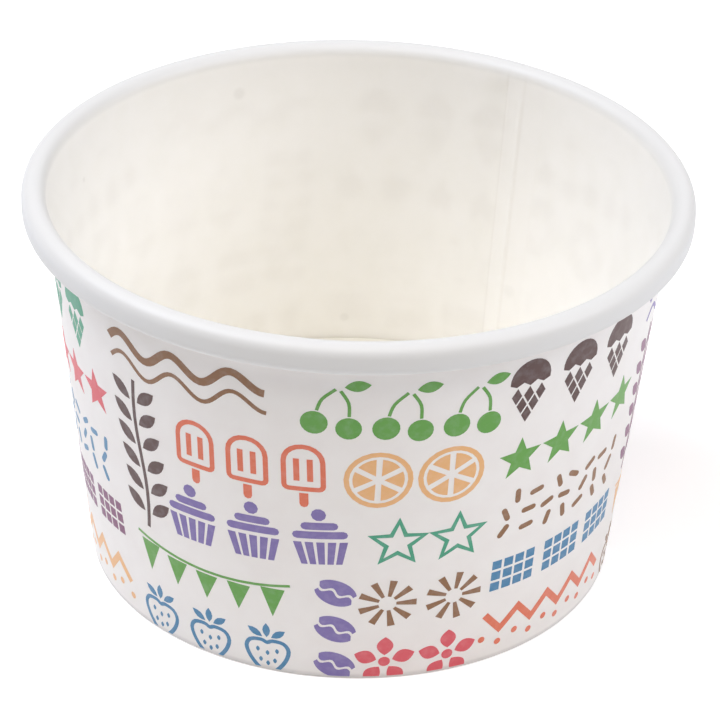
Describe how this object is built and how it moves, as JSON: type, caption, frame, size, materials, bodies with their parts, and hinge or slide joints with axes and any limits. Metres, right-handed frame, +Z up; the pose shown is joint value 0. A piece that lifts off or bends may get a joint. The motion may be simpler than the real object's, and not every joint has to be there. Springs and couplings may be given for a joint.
{
  "type": "paper ice cream cup",
  "caption": "Open tapered paper tub for ice cream, with a rolled rim, a lapped side seam and a recessed bottom disc held in a folded foot hem.",
  "frame": {"origin": "centre of the foot, on the surface that the cup stands on", "axes": "+Z up along the cup's axis; the side the picture looks at faces -Y, and the side seam is at 60 degrees from +X towards +Y"},
  "size_m": [0.096, 0.096, 0.0594],
  "materials": {
    "printed_board": "white clay-coated paperboard with a thin film of polyethylene, satin outside and cream inside, printed outside",
    "disc_board": "cream paperboard with a thin film of polyethylene, satin"
  },
  "bodies": {
    "root": {"sidewall": "printed_board", "bottom_disc": "disc_board"}
  },
  "joints": []
}
